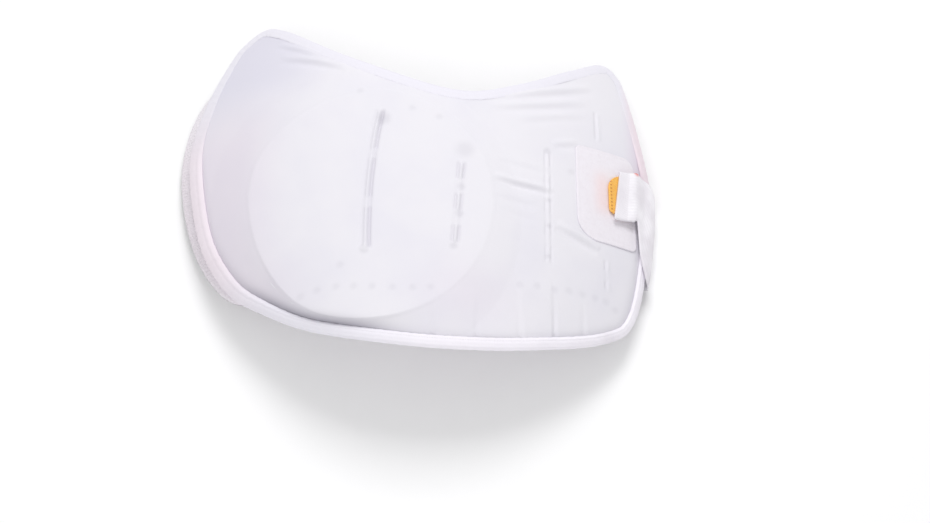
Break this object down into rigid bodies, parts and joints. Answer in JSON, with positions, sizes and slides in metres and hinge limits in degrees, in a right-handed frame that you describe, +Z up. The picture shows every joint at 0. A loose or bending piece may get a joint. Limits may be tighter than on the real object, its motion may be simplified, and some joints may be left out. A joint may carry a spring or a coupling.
{
  "type": "cricket chest protector",
  "caption": "White padded chest guard, arched to the ribs, with a round heart disc under a bound stretch cover, a towelling back pad and an elastic strap with an orange hook tab.",
  "frame": {"origin": "on the floor, below the middle of the guard's bounding box, as it lies front up", "axes": "+X across the chest towards the fastened end of the strap, +Y towards the neck edge, +Z up, out of the chest"},
  "size_m": [0.348, 0.2634, 0.0813],
  "materials": {
    "towelling": "white cotton towelling with short loops",
    "shell_foam": "moulded white foam sheet",
    "disc_plastic": "stiff white plastic",
    "cover_jersey": "fine white stretch jersey",
    "binding_tape": "folded white knitted tape",
    "loop_pile": "brushed white loop pile",
    "hook_orange": "orange woven hook tape",
    "strap_elastic": "white ribbed elastic webbing"
  },
  "bodies": {
    "root": {"towelling_pad": "towelling", "slotted_shell": "shell_foam", "heart_disc": "disc_plastic", "front_cover": "cover_jersey", "edge_binding": "binding_tape", "fastening_patch": "loop_pile", "hook_tab": "hook_orange", "elastic_strap": "strap_elastic"}
  },
  "joints": []
}
